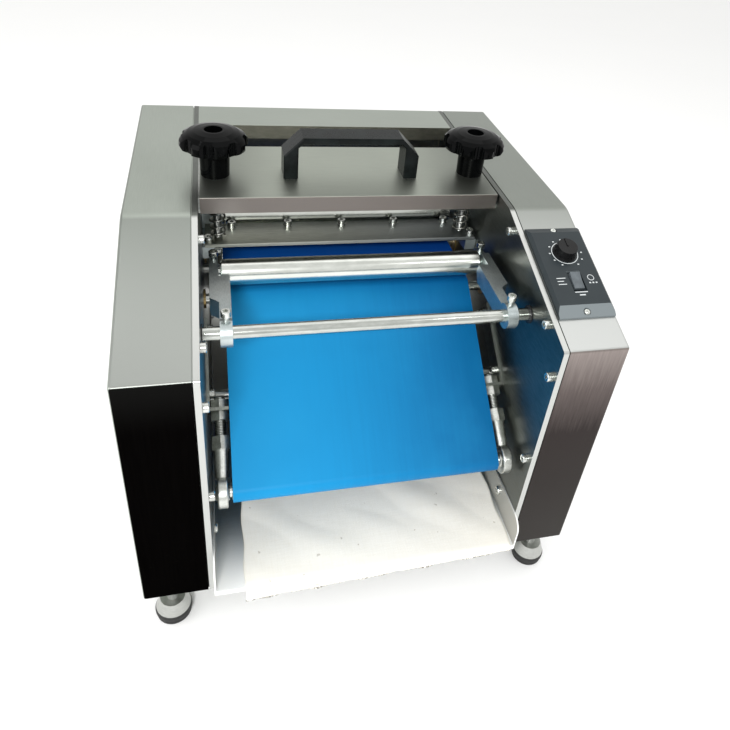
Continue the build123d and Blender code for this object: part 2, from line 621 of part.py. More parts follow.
# ---- Press roller and arms ----------------------------------------------
def pivot_bushes():
    bush = bar_x(7.5, HALF, PLATE_OUT, ROD_Y, ROD_Z) + bar_x(8.5, HALF - 1, HALF, ROD_Y, ROD_Z)
    bush -= bar_x(ROD_D / 2, HALF - 4, PLATE_OUT + 1, ROD_Y, ROD_Z)
    return both_sides(bush)


def arm(side):
    """Clamp ring on the pivot rod, stepped bar and roller tongue."""
    top, low = HEIGHT - 58.0, HEIGHT - 76.6
    x0, x1, x2 = ARM_X, ARM_X + 10.0, ARM_X + 18.0
    ring = bar_x(12.0, x0, x1, ROD_Y, ROD_Z)
    bar_end = PRESS_Y - 24.0
    bar = profile([(ROD_Y, low + 3), (ROD_Y, top), (bar_end, top), (bar_end + 3, top - 9), (bar_end - 4, low),
                   (ROD_Y + 6, low)], x0, x1)
    step = ROD_Y + 0.42 * ARM_REACH
    tongue_outline = [(step, low), (step, top), (PRESS_Y - 2, top), (PRESS_Y + 1.5, top - 6), (PRESS_Y + 18, top - 6),
                      (PRESS_Y + 18, low - 1), (PRESS_Y - 12, low - 1), (PRESS_Y - 18, low)]
    tongue = profile(tongue_outline, x1, x2)
    wedge = outline([(x1 - 1, step - 7), (x1, step - 7), (x2, step), (x2, step + 4), (x1 - 1, step + 4)], low, top)
    body = ring + bar + tongue + wedge
    body -= bar_x(ROD_D / 2 + FIT, x0 - 1, x1 + 1, ROD_Y, ROD_Z)
    body -= bar_x(ROD_D / 2 + 1.0, x1, x2 + 1, ROD_Y, ROD_Z)
    body -= bar_x(5.0, x1 - 1, x2 + 1, PRESS_Y, PRESS_Z)
    body -= block(x1 - 1, x2 + 1, PRESS_Y, PRESS_Y + 19, PRESS_Z - 0.6, PRESS_Z + 0.6)
    body -= bar_z(2.5, (x1 + x2) / 2, PRESS_Y + 12, low + 2, top)
    body -= bar_z(2.5, (x0 + x1) / 2, ROD_Y + 1.5, ROD_Z + ROD_D / 2 + 1, ROD_Z + 14)
    return body if side > 0 else mirrored(body)


def arm_screws():
    """Clamp screws of both arms."""
    front = Pos(ARM_X + 5, ROD_Y + 1.5, ROD_Z + 11.9) * cap_screw(5, 3.5, stand=5.0)
    rear = Pos(ARM_X + 14, PRESS_Y + 12, HEIGHT - 64.0) * cap_screw(5, 10, stand=5.0)
    return both_sides(group(front, rear))


def press_roller():
    """Steel roller that turns freely on its axle."""
    body = bar_x(R_PRESS, -ROLLER_HALF - 1, ROLLER_HALF + 1, PRESS_Y, PRESS_Z)
    body = chamfer(body.edges().filter_by(GeomType.CIRCLE), 1.2)
    return body - bar_x(5.0 + FIT, -ROLLER_HALF - 2, ROLLER_HALF + 2, PRESS_Y, PRESS_Z)


def press_axle():
    return bar_x(5.0, -ARM_X - 18, ARM_X + 18, PRESS_Y, PRESS_Z)


# ---- Drive --------------------------------------------------------------
def gear(phase):
    """Spur gear on the X axis, with a little backlash cut from each flank."""
    pitch_r = GEAR_TEETH * GEAR_MODULE / 2
    base_r = pitch_r * cos(20 * pi / 180)
    tip_r = pitch_r + GEAR_MODULE
    root_r = pitch_r - 1.25 * GEAR_MODULE
    involute = tan(20 * pi / 180) - 20 * pi / 180
    half_tooth = pi / (2 * GEAR_TEETH) - 0.22 / pitch_r
    points = []
    for k in range(GEAR_TEETH):
        centre = 2 * pi * k / GEAR_TEETH + phase
        flank = []
        for step in range(6):
            radius = max(base_r, root_r) + (tip_r - max(base_r, root_r)) * step / 5
            roll = sqrt(max((radius / base_r) ** 2 - 1, 0.0))
            flank.append((radius, half_tooth + involute - (roll - atan2(roll, 1))))
        points.append((root_r * cos(centre - flank[0][1]), root_r * sin(centre - flank[0][1])))
        points += [(r * cos(centre - a), r * sin(centre - a)) for r, a in flank]
        points += [(r * cos(centre + a), r * sin(centre + a)) for r, a in reversed(flank)]
        points.append((root_r * cos(centre + flank[0][1]), root_r * sin(centre + flank[0][1])))
    return points


def drive_gear(z, phase):
    points = [(NIP_Y + y, z + up) for y, up in gear(phase)]
    body = profile(points, -PLATE_OUT - 14, -PLATE_OUT - 4)
    body += bar_x(13.0, -PLATE_OUT - 4, -PLATE_OUT - 2, NIP_Y, z)
    return body - bar_x(7.5, -PLATE_OUT - 15, -PLATE_OUT, NIP_Y, z)


def gear_motor():
    """Sealed worm gear motor on the right side plate."""
    box = block(PLATE_OUT, PLATE_OUT + 48, REAR_Y - 26, REAR_Y + 26, REAR_Z - 26, REAR_Z + 26)
    box = fillet(box.edges().filter_by(Axis.X), 4.0)
    motor = bar_z(24.0, PLATE_OUT + 26, REAR_Y, REAR_Z - 142, REAR_Z - 26)
    motor += bar_z(18.0, PLATE_OUT + 26, REAR_Y, REAR_Z - 148, REAR_Z - 142)
    body = box + motor
    return body - bar_x(7.5 + FIT, PLATE_OUT - 1, PLATE_OUT + 49, REAR_Y, REAR_Z)


# ---- Screws in the walls ------------------------------------------------
def casing_screws():
    screws = [wall_place(y, z) * cap_screw(5, PLATE_T + 2.4) for y, z in WALL_SCREWS]
    return both_sides(group(*screws))


def tray_screws():
    screws = []
    for y, z in TRAY_SCREWS:
        place = Location(Plane(origin=(HALF - SHEET_T, y, z), x_dir=(0, 1, 0), z_dir=(-1, 0, 0)))
        screws.append(place * pan_screw(5, SHEET_T + PLATE_T - 0.5))
    return both_sides(group(*screws))


# ---- Control panel ------------------------------------------------------
PANEL_X = CASE_OUT - 1.5 - PANEL_W / 2
PANEL_FROM = 29.5
PANEL_SCREWS = [PANEL_FROM + 4.4, PANEL_FROM + PANEL_L - 4.6]
DIAL_AT = (0.6, PANEL_FROM + 33.5)
ROCKER_AT = (1.0, PANEL_FROM + 66.5)
ROCKER_PIN = 2.0
ROCKER_PIN_R = 3.4


def control_panel():
    """Speed controller: raised face with sloped ends, a switch well and a box behind."""
    middle = PANEL_FROM + PANEL_L / 2
    half = PANEL_L / 2
    plane = Plane(origin=(-PANEL_W / 2, 0, 0), x_dir=(0, 1, 0), z_dir=(1, 0, 0))
    section = [(-half, 0), (-half, 2.0), (-half + PANEL_END_LOW, PANEL_T), (half - PANEL_END_HIGH, PANEL_T),
               (half, 2.0), (half, 0)]
    plate = extrude(plane * make_face(Polyline(*section, close=True)), amount=PANEL_W)
    plate = chamfer(plate.faces().sort_by(Axis.Z)[-1].edges().filter_by(Axis.Y), 2.4)
    back = Pos(0, 0, -12) * Box(PANEL_W - 11, PANEL_L - 18, 24)
    body = slope_frame(PANEL_X, middle) * (plate + back)
    for along in PANEL_SCREWS:
        body -= slope_frame(PANEL_X, along) * Cylinder(1.5, 14)
        body -= slope_frame(PANEL_X, along, PANEL_SEAT) * Pos(0, 0, 3) * Cylinder(3.4, 6)
    x, along = DIAL_AT
    body -= slope_frame(PANEL_X + x, along) * Cylinder(3.0 + FIT, 14)
    x, along = ROCKER_AT
    body -= slope_frame(PANEL_X + x, along) * Pos(0, 0, 1) * Box(10.6, 19.0, 14)
    body -= slope_frame(PANEL_X + x, along, PANEL_T - 2.5) * Pos(0, 0, 2) * Box(13.6, 22.6, 4)
    return body


def panel_screws():
    screws = [slope_frame(PANEL_X, along, PANEL_SEAT) * pan_screw(3, 7) for along in PANEL_SCREWS]
    return group(*screws)


def speed_dial():
    """Round knob with a skirt, ribbed grip and a pointer ridge."""
    x, along = DIAL_AT
    base = PANEL_T + 0.4
    skirt = Pos(0, 0, base + 1.0) * Cone(11.8, 11.2, 2.0)
    grip = Pos(0, 0, base + 5.5) * Cone(10.6, 9.4, 7.2)
    for k in range(18):
        angle = 2 * pi * k / 18
        grip -= bar_z(0.6, 10.5 * cos(angle), 10.5 * sin(angle), base + 2.2, base + 12)
    grip += block(-0.8, 0.8, 0, 9.0, base + 7, base + 9.8)
    spindle = bar_z(3.0, 0, 0, -6.5, base + 1)
    return slope_frame(PANEL_X + x, along) * (skirt + grip + spindle)


def rocker_switch():
    """Rocker with two tilted faces on a round pivot across the panel."""
    x, along = ROCKER_AT
    plane = Plane(origin=(-4.9, 0, 0), x_dir=(0, 1, 0), z_dir=(1, 0, 0))
    points = [(-8.4, 3.6), (-8.4, 6.2), (0, 6.6), (8.4, 8.6), (8.4, 3.6), (3, 0.6), (-3, 0.6)]
    body = extrude(plane * make_face(Polyline(*points, close=True)), amount=9.8)
    body += bar_x(ROCKER_PIN_R, -4.9, 4.9, 0, ROCKER_PIN)
    return slope_frame(PANEL_X + x, along) * body


def power_inlet():
    """Recessed mains inlet in the back of the right casing."""
    x0 = CASE_IN + 14
    shell = block(x0, x0 + 28, DEPTH - 22, DEPTH, 40, 61)
    flange = block(x0 - 4, x0 + 32, DEPTH, DEPTH + 2, 35, 66)
    body = shell + flange
    body -= block(x0 + 2.5, x0 + 25.5, DEPTH - 16, DEPTH + 3, 42.5, 58.5)
    for dx, dz in ((-7, 0), (7, 0), (0, 3.5)):
        body += block(x0 + 13.2 + dx, x0 + 14.8 + dx, DEPTH - 17, DEPTH - 3, 48 + dz, 52 + dz)
    return body


# ---- Canvas cloth -------------------------------------------------------
CLOTH_X0 = -HALF + 27.0
CLOTH_X1 = HALF - 4.0
CLOTH_BACK = 250.0


def canvas_cloth():
    """Dusting cloth: flat on the tray floor and over the front lip."""
    flat = block(CLOTH_X0, CLOTH_X1, -TRAY_OUT - CLOTH_T, CLOTH_BACK, TRAY_Z, TRAY_Z + CLOTH_T)
    front = block(CLOTH_X0, CLOTH_X1, -TRAY_OUT - CLOTH_T, -TRAY_OUT, TRAY_Z - 20, TRAY_Z)
    return flat + front


# ---- Write the pieces ---------------------------------------------------
def main():
    os.makedirs("parts", exist_ok=True)
    save(side_plate(True), "side_plate_right")
    save(side_plate(False), "side_plate_left")
    save(casing(True), "casing_right")
    save(casing(False), "casing_left")
    save(rear_cover(), "rear_cover")
    save(base_tray(), "base_tray")
    feet()

    save(press_bridge(), "press_bridge")
    save(bridge_blocks(), "bridge_ledges")
    save(bridge_bolts(), "ledge_bolts")
    save(bridge_handle(), "bridge_handle")
    save(handle_screws(), "handle_screws")
    save(carriage_tray(), "carriage_tray")
    save(scraper(), "scraper")
    save(carriage_screws(), "carriage_screws")
    for name, side in (("right", 1), ("left", -1)):
        save(knob(side), f"knob_{name}")
        save(knob_stud(side), f"knob_stud_{name}")
        save(spring(side), f"spring_{name}")
        save(bearing_block(side), f"bearing_block_{name}")

    save(roller(R_UPPER, ROLLER_HALF, 7.5, -PLATE_OUT - 14, HALF - 1, NIP_Y, UPPER_Z), "upper_roller")
    save(roller(R_REAR, ROLLER_HALF, 7.5, -PLATE_OUT - 14, PLATE_OUT, NIP_Y, REAR_Z), "anvil_roller")
    save(roller(R_REAR, ROLLER_HALF, 7.5, -PLATE_OUT, PLATE_OUT + 47, REAR_Y, REAR_Z), "drive_roller")
    save(roller(R_SUPPORT, ROLLER_HALF, 5.0, -PLATE_OUT, PLATE_OUT, SUPPORT_Y, SUPPORT_Z), "support_roller")
    save(roller(R_FRONT, ROLLER_HALF - 1, 5.0, -TENSION_X - 6, TENSION_X + 6, FRONT_Y, FRONT_Z), "front_roller")
    save(shaft_bearings(), "shaft_bearings")
    save(conveyor_belt(), "conveyor_belt")
    save(belt_bed(), "belt_bed")
    save(tie_bars(), "tie_bars")

    for name, side in (("right", 1), ("left", -1)):
        save(rod_end(side), f"rod_end_{name}")
        save(tension_stud(side), f"tension_stud_{name}")
        save(tension_bracket(side), f"tension_bracket_{name}")
        save(arm(side), f"arm_{name}")
    save(tension_nuts(), "tension_nuts")
    save(bracket_screws(), "bracket_screws")
    save(bar_x(ROD_D / 2, -PLATE_OUT, PLATE_OUT, ROD_Y, ROD_Z), "pivot_rod")
    save(pivot_bushes(), "pivot_bushes")
    save(arm_screws(), "arm_screws")
    save(press_roller(), "press_roller")
    save(press_axle(), "press_axle")

    save(drive_gear(REAR_Z, pi / 2), "anvil_gear")
    save(drive_gear(UPPER_Z, pi / GEAR_TEETH - pi / 2), "upper_gear")
    save(gear_motor(), "gear_motor")
    save(casing_screws(), "casing_screws")
    save(tray_screws(), "tray_screws")

    save(control_panel(), "control_panel")
    save(panel_screws(), "panel_screws")
    save(speed_dial(), "speed_dial")
    save(rocker_switch(), "rocker_switch")
    save(power_inlet(), "power_inlet")
    save(canvas_cloth(), "canvas_cloth")


main()
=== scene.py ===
import random
from math import cos, pi, radians, sin

import bmesh
import bpy
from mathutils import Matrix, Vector


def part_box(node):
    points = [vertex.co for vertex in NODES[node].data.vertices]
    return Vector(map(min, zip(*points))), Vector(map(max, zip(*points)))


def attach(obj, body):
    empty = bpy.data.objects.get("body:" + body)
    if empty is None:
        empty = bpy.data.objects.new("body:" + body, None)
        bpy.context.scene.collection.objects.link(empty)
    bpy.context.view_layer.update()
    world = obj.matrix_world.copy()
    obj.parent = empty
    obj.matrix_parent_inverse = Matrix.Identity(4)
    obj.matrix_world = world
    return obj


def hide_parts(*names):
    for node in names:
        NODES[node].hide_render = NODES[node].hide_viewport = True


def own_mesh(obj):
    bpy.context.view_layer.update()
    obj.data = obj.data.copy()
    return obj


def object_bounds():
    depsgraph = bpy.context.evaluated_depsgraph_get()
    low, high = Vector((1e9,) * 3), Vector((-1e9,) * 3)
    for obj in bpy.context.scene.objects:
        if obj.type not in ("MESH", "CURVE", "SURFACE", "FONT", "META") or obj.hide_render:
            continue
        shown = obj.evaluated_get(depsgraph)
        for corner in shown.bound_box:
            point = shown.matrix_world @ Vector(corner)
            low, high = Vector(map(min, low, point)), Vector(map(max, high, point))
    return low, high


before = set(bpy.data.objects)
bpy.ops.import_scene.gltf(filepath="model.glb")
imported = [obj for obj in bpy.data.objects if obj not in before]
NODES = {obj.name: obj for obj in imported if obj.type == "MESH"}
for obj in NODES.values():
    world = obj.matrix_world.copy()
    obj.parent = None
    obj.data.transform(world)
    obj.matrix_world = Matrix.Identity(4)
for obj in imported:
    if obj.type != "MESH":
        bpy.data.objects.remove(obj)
CAD_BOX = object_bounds()
random.seed(7)


# ---- Shader sums ----------------------------------------------------------
class Value:
    """A shader number that takes part in Python sums."""

    def __init__(self, finish, socket):
        self.finish = finish
        self.socket = socket

    def _sum(self, operation, *others):
        node = self.finish.node("ShaderNodeMath", {"operation": operation}, dict(enumerate(others)))
        return Value(self.finish, node.outputs[0])

    def __add__(self, other):
        return self._sum("ADD", self, other)

    __radd__ = __add__

    def __sub__(self, other):
        return self._sum("SUBTRACT", self, other)

    def __rsub__(self, other):
        return self._sum("SUBTRACT", other, self)

    def __mul__(self, other):
        return self._sum("MULTIPLY", self, other)

    __rmul__ = __mul__

    def __truediv__(self, other):
        return self._sum("DIVIDE", self, other)

    def __abs__(self):
        return self._sum("ABSOLUTE", self)

    def above(self, limit, soft):
        """0 below the limit, 1 above it, with a soft step."""
        return self._step(limit - soft, limit + soft)

    def below(self, limit, soft):
        """1 below the limit, 0 above it, with a soft step."""
        return 1 - self._step(limit - soft, limit + soft)

    def _step(self, low, high):
        node = self.finish.node("ShaderNodeMapRange", {"interpolation_type": "SMOOTHSTEP"},
                                {"Value": self, "From Min": low, "From Max": high})
        return Value(self.finish, node.outputs[0])

    def sine(self):
        return self._sum("SINE", self)

    def most(self, other):
        return self._sum("MAXIMUM", self, other)


class Finish:
    """One material: a Principled shader and the nodes that feed it."""

    def __init__(self, name, **fixed):
        self.material = bpy.data.materials.new(name)
        self.material.use_nodes = True
        self.tree = self.material.node_tree
        self.shader = next(n for n in self.tree.nodes if n.type == "BSDF_PRINCIPLED")
        for word, value in fixed.items():
            self.shader.inputs[word.replace("_", " ")].default_value = value
        self._place = None
        self._facing = None

    def node(self, kind, settings=None, sockets=None):
        """Any node: its type, its settings first, then the values or links of its sockets."""
        made = self.tree.nodes.new(kind)
        for word, value in (settings or {}).items():
            if word == "stops":
                ramp = made.color_ramp
                while len(ramp.elements) < len(value):
                    ramp.elements.new(0.5)
                for element, (at, colour) in zip(ramp.elements, value):
                    element.position = at
                    element.color = colour if len(colour) == 4 else (*colour, 1)
            else:
                setattr(made, word, value)
        for key, value in (sockets or {}).items():
            self.join(made.inputs[key], value)
        return made

    def join(self, socket, value):
        if isinstance(value, Value):
            self.tree.links.new(value.socket, socket)
        elif isinstance(value, bpy.types.NodeSocket):
            self.tree.links.new(value, socket)
        elif isinstance(value, tuple) and len(value) == 3 and socket.type == "RGBA":
            socket.default_value = (*value, 1)
        else:
            socket.default_value = value

    def place(self):
        """Where the surface is, in the machine's own frame."""
        if self._place is None:
            self._place = self.node("ShaderNodeTexCoord").outputs["Object"]
        return self._place

    def axis(self, letter):
        """One coordinate of the surface in metres."""
        node = self.node("ShaderNodeSeparateXYZ", None, {0: self.place()})
        return Value(self, node.outputs["XYZ".index(letter)])

    def facing(self, letter):
        """One part of the surface's direction at rest."""
        if self._facing is None:
            normal = self.node("ShaderNodeTexCoord").outputs["Normal"]
            self._facing = self.node("ShaderNodeSeparateXYZ", None, {0: normal})
        return Value(self, self._facing.outputs["XYZ".index(letter)])

    def stretched(self, x, y, z):
        """The place, scaled by three numbers."""
        return self.node("ShaderNodeVectorMath", {"operation": "MULTIPLY"},
                         {0: self.place(), 1: (x, y, z)}).outputs[0]

    def noise(self, where, scale, detail=3.0, rough=0.55):
        node = self.node("ShaderNodeTexNoise", None,
                         {"Vector": where, "Scale": scale, "Detail": detail, "Roughness": rough})
        return Value(self, node.outputs["Fac"])

    def mix(self, amount, first, second):
        """Colour between two colours."""
        node = self.node("ShaderNodeMix", {"data_type": "RGBA"}, {"Factor": amount, 6: first, 7: second})
        return node.outputs[2]

    def bump(self, height, depth, strength=1.0, under=None):
        sockets = {"Height": height, "Distance": depth, "Strength": strength}
        if under is not None:
            sockets["Normal"] = under
        return self.node("ShaderNodeBump", None, sockets).outputs[0]

    def set(self, **links):
        for word, value in links.items():
            self.join(self.shader.inputs[word.replace("_", " ")], value)
        return self


def brushed_steel(name, light, dark, grain=(1, 60, 60), rough=0.34, shade=None, dull=None, **fixed):
    """Brushed stainless sheet: long fine scratches along one direction, faint smears and worn patches."""
    finish = Finish(name, Metallic=1.0, **fixed)
    scratch = finish.noise(finish.stretched(*grain), 42.0, 4.0, 0.7)
    hair = finish.noise(finish.stretched(*(3 * g for g in grain)), 160.0, 2.0, 0.6)
    smear = finish.noise(finish.place(), 9.0, 3.0, 0.5)
    tone = scratch * 0.5 + hair * 0.2 + smear * 0.3
    colour = finish.mix(tone.above(0.5, 0.25), dark, light)
    # shade, where given, paints light and shade into the colour.
    if shade is not None:
        colour = shade(finish, colour)
    if dull is not None:
        finish.set(Metallic=1.0 - dull(finish))
    normal = finish.bump(scratch * 0.7 + hair * 0.3, 0.00005, 0.5)
    uneven = rough + scratch * 0.12 + smear * 0.10 - 0.09
    return finish.set(Base_Color=colour, Roughness=uneven, Normal=normal)


def turned_metal(name, light, dark, rough=0.16, rings=900.0, bumpy=0.00002):
    """Bar turned on a lathe: faint rings round its own axis, light handling marks."""
    finish = Finish(name, Metallic=1.0)
    ring = (finish.axis("X") * rings).sine() * 0.5 + 0.5
    mark = finish.noise(finish.stretched(1, 3, 3), 60.0, 4.0, 0.6)
    colour = finish.mix(mark.above(0.52, 0.3), dark, light)
    normal = finish.bump(ring * 0.5 + mark * 0.3, bumpy, 0.4)
    return finish.set(Base_Color=colour, Roughness=rough + mark * 0.06, Normal=normal)


def small_steel(name, light, dark, rough=0.25):
    """Plated screws, nuts and studs with fine speckle and slight tarnish."""
    finish = Finish(name, Metallic=1.0)
    speck = finish.noise(finish.place(), 700.0, 3.0, 0.6)
    tarnish = finish.noise(finish.place(), 90.0, 3.0, 0.55)
    colour = finish.mix((speck * 0.35 + tarnish * 0.65).above(0.5, 0.18), dark, light)
    return finish.set(Base_Color=colour, Roughness=rough + speck * 0.2,
                      Normal=finish.bump(speck, 0.00003, 0.5))


def threaded_steel(name, rise, pitch):
    """Threaded stud: rings at the thread pitch along an axis in the Y-Z plane.

    rise is the axis's angle above level in radians.
    """
    finish = Finish(name, Metallic=1.0)
    along = finish.axis("Y") * cos(rise) + finish.axis("Z") * sin(rise)
    ring = (along * (2 * pi / pitch)).sine() * 0.5 + 0.5
    speck = finish.noise(finish.place(), 500.0, 3.0, 0.6)
    colour = finish.mix(ring * 0.8 + speck * 0.2, (0.16, 0.165, 0.155), (0.66, 0.68, 0.65))
    return finish.set(Base_Color=colour, Roughness=0.24 + speck * 0.15,
                      Normal=finish.bump(ring, 0.0004, 0.8))


def moulded_plastic(name, light, dark, rough, grain=1400.0, depth=0.00002, **fixed):
    """Moulded plastic: fine grain, faint wear where hands touch it."""
    finish = Finish(name, **fixed)
    fine = finish.noise(finish.place(), grain, 2.0, 0.5)
    wear = finish.noise(finish.place(), 55.0, 4.0, 0.6)
    colour = finish.mix(wear.above(0.55, 0.15), dark, light)
    return finish.set(Base_Color=colour, Roughness=rough + wear * 0.10 + fine * 0.05,
                      Normal=finish.bump(fine, depth, 0.5))


# ---- Finishes -------------------------------------------------------------
def front_wall(finish):
    """1 on a wall that faces the front, 0 elsewhere."""
    return finish.facing("Y").below(-0.75, 0.1)


def painted_slope_reflection(finish, colour, upper, lower):
    """Painted reflection on the slope: one tone below the knee, lighter towards the front edge."""
    slope = finish.facing("Z").above(0.7, 0.1) * finish.facing("Z").below(0.975, 0.012)
    low = finish.axis("Z").below(0.345, 0.035)
    return finish.mix(slope * 0.85, colour, finish.mix(low, upper, lower))


def left_casing_painted_reflection(finish, colour):
    """Painted dark reflection on the left casing's front wall: near black, with faint upright streaks, a
    little lighter near the top; the slope gets its painted reflection.
    """
    streak = finish.noise(finish.stretched(60, 1, 2), 12.0, 3.0, 0.6)
    wall = finish.mix(streak, (0.0006, 0.0005, 0.0005), (0.0022, 0.0019, 0.0018))
    top = finish.axis("Z").above(0.285, 0.03)
    wall = finish.mix(top * 0.8, wall, (0.0065, 0.0065, 0.0062))
    sheet = painted_slope_reflection(finish, colour, (0.205, 0.222, 0.202), (0.37, 0.384, 0.366))
    return finish.mix(front_wall(finish), sheet, wall)


def right_casing_painted_reflection(finish, colour):
    """Painted reflection on the right casing's front wall: warm grey at the top, dark brown in the middle,
    soft streaks; the slope gets its painted reflection.
    """
    height = finish.axis("Z")
    streak = finish.noise(finish.stretched(46, 1, 3), 10.0, 4.0, 0.6)
    wall = finish.node("ShaderNodeValToRGB", {"stops": [
        (0.0, (0.028, 0.024, 0.021)), (0.35, (0.026, 0.021, 0.019)), (0.62, (0.030, 0.023, 0.022)),
        (0.82, (0.12, 0.098, 0.093)), (1.0, (0.29, 0.25, 0.235))]},
        {"Fac": (height - 0.05) / 0.26 + (streak - 0.5) * 0.16}).outputs[0]
    sheet = painted_slope_reflection(finish, colour, (0.27, 0.285, 0.265), (0.61, 0.62, 0.61))
    return finish.mix(front_wall(finish), sheet, wall)


def side_plate_painted_light(finish, colour):
    """Painted highlight on the side plates' cut edges; painted shade on the faces towards the floor and
    near the top.
    """
    edge = abs(finish.facing("X")).below(0.5, 0.1) * finish.facing("Z").below(0.975, 0.01)
    low = finish.axis("Z").below(0.17, 0.08)
    high = finish.axis("Z").above(0.29, 0.03)
    face = finish.mix(low.most(high) * 0.45, colour, (0.06, 0.062, 0.055))
    return finish.mix(edge, face, (0.56, 0.57, 0.55))


def bridge_painted_shade(finish, colour):
    """Painted shade: the bridge's folded front is duller and browner than its top, and the ends of the top
    are darker.
    """
    ends = abs(finish.axis("X")).above(0.10, 0.05)
    top = finish.mix(ends * 0.75, colour, (0.175, 0.185, 0.165))
    return finish.mix(front_wall(finish), top, (0.212, 0.188, 0.172))


def cover_painted_reflection(finish, colour):
    """Painted dull olive reflection on the rear cover's folded front wall, mottled by streaky noise."""
    mottle = finish.noise(finish.stretched(8, 1, 20), 14.0, 3.0, 0.6)
    wall = finish.mix(mottle, (0.16, 0.158, 0.125), (0.29, 0.28, 0.23))
    return finish.mix(front_wall(finish), colour, wall)


def tray_front(finish):
    """Part of the tray near its open front, where light falls on it."""
    return finish.axis("Y").below(-0.172, 0.045)


def tray_painted_light(finish, colour):
    """Painted light on the tray's front, where light falls on it: pale on the floor, darker on the side
    flanges; under the belt it keeps its steel colour.
    """
    flange = abs(finish.facing("X")).above(0.5, 0.1)
    painted_front_light = finish.mix(flange, (0.95, 0.955, 0.93), (0.43, 0.42, 0.38))
    return finish.mix(tray_front(finish), colour, painted_front_light)


def carriage_painted_shade(finish, colour):
    """Painted shade: the carriage plate is duller and bluer towards the motor side."""
    right = (finish.axis("X") / 0.26 + 0.5).above(0.6, 0.4)
    return finish.mix(right * 0.75, colour, (0.17, 0.19, 0.21))


STEEL_LIGHT = (0.44, 0.475, 0.43)
STEEL_DARK = (0.34, 0.37, 0.33)
# The right casing's steel tones are darker copies of the casing steel: painted shade.
SHADED_RIGHT_STEEL_LIGHT = (0.33, 0.352, 0.32)
SHADED_RIGHT_STEEL_DARK = (0.255, 0.275, 0.25)
BELT_RISE = 0.592         # incline of the belt and its tensioners, radians
TENSION_PITCH = 0.0015    # thread pitches in metres
KNOB_PITCH = 0.00125

# The left casing has no specular and its front wall is made non-metallic, so the wall shows only its
# painted dark reflection.
casing_left_steel = brushed_steel("brushed_casing_left", STEEL_LIGHT, STEEL_DARK, (60, 1.2, 60),
                                  shade=left_casing_painted_reflection, dull=front_wall, Specular_IOR_Level=0.0)
casing_right_steel = brushed_steel("brushed_casing_right", SHADED_RIGHT_STEEL_LIGHT, SHADED_RIGHT_STEEL_DARK,
                                   (60, 1.2, 60), shade=right_casing_painted_reflection)
plate_steel = brushed_steel("brushed_side_plate", (0.27, 0.29, 0.27), (0.13, 0.14, 0.125),
                            (60, 1.5, 9), 0.30, shade=side_plate_painted_light)
cover_steel = brushed_steel("brushed_cover", STEEL_LIGHT, STEEL_DARK, (1.2, 60, 60), shade=cover_painted_reflection)
bridge_steel = brushed_steel("brushed_bridge", (0.43, 0.46, 0.40), (0.32, 0.34, 0.30), (1.2, 60, 40), 0.38,
                             shade=bridge_painted_shade)
# The tray's front is made mostly non-metallic, so its painted light reads as pale and diffuse.
tray_steel = brushed_steel("brushed_tray", (0.50, 0.51, 0.49), (0.34, 0.35, 0.33), (1.2, 40, 40), 0.42,
                           shade=tray_painted_light, dull=lambda finish: tray_front(finish) * 0.85)
carriage_steel = brushed_steel("worn_carriage_plate", (0.58, 0.60, 0.54), (0.28, 0.29, 0.25),
                               (1.5, 30, 30), 0.36, shade=carriage_painted_shade)
bracket_steel = brushed_steel("bracket_steel", (0.42, 0.44, 0.40), (0.2, 0.21, 0.19), (20, 3, 3), 0.32)
roller_steel = turned_metal("ground_roller_steel", (0.74, 0.76, 0.72), (0.62, 0.64, 0.60))
rod_steel = turned_metal("polished_rod", (0.60, 0.62, 0.59), (0.46, 0.48, 0.45), 0.14)
drawn_steel = turned_metal("drawn_bar_steel", (0.6, 0.61, 0.58), (0.4, 0.41, 0.39), 0.28)
screw_steel = small_steel("screw_steel", (0.80, 0.82, 0.79), (0.5, 0.51, 0.48), 0.16)
plated_steel = small_steel("plated_steel", (0.72, 0.74, 0.71), (0.42, 0.43, 0.40), 0.22)
incline_thread = threaded_steel("incline_thread", BELT_RISE, TENSION_PITCH)
upright_thread = threaded_steel("upright_thread", pi / 2, KNOB_PITCH)
spring_steel = small_steel("spring_steel", (0.6, 0.6, 0.56), (0.28, 0.28, 0.25), 0.22)
gear_steel = small_steel("gear_steel", (0.5, 0.5, 0.48), (0.3, 0.3, 0.28), 0.35)
bronze = small_steel("bearing_bronze", (0.62, 0.46, 0.22), (0.36, 0.25, 0.11), 0.3)
knob_plastic = moulded_plastic("glossy_knob", (0.002, 0.0022, 0.0024), (0.001, 0.0012, 0.0013), 0.0,
                               500.0, 0.00001, Specular_IOR_Level=0.055)
handle_plastic = moulded_plastic("satin_handle", (0.007, 0.010, 0.010), (0.003, 0.0045, 0.0045), 0.2,
                                 Specular_IOR_Level=0.11)
bush_plastic = moulded_plastic("black_bush", (0.02, 0.02, 0.022), (0.01, 0.01, 0.011), 0.4)
rocker_plastic = moulded_plastic("rocker_grey", (0.125, 0.145, 0.16), (0.07, 0.084, 0.094), 0.3)
dial_plastic = moulded_plastic("dial_black", (0.008, 0.0085, 0.009), (0.004, 0.004, 0.0045), 0.2,
                               Specular_IOR_Level=0.25)
motor_paint = moulded_plastic("motor_paint", (0.10, 0.11, 0.12), (0.06, 0.066, 0.07), 0.45)
foot_rubber = moulded_plastic("foot_rubber", (0.018, 0.018, 0.018), (0.008, 0.008, 0.008),
                              0.6, 700.0, 0.0001)


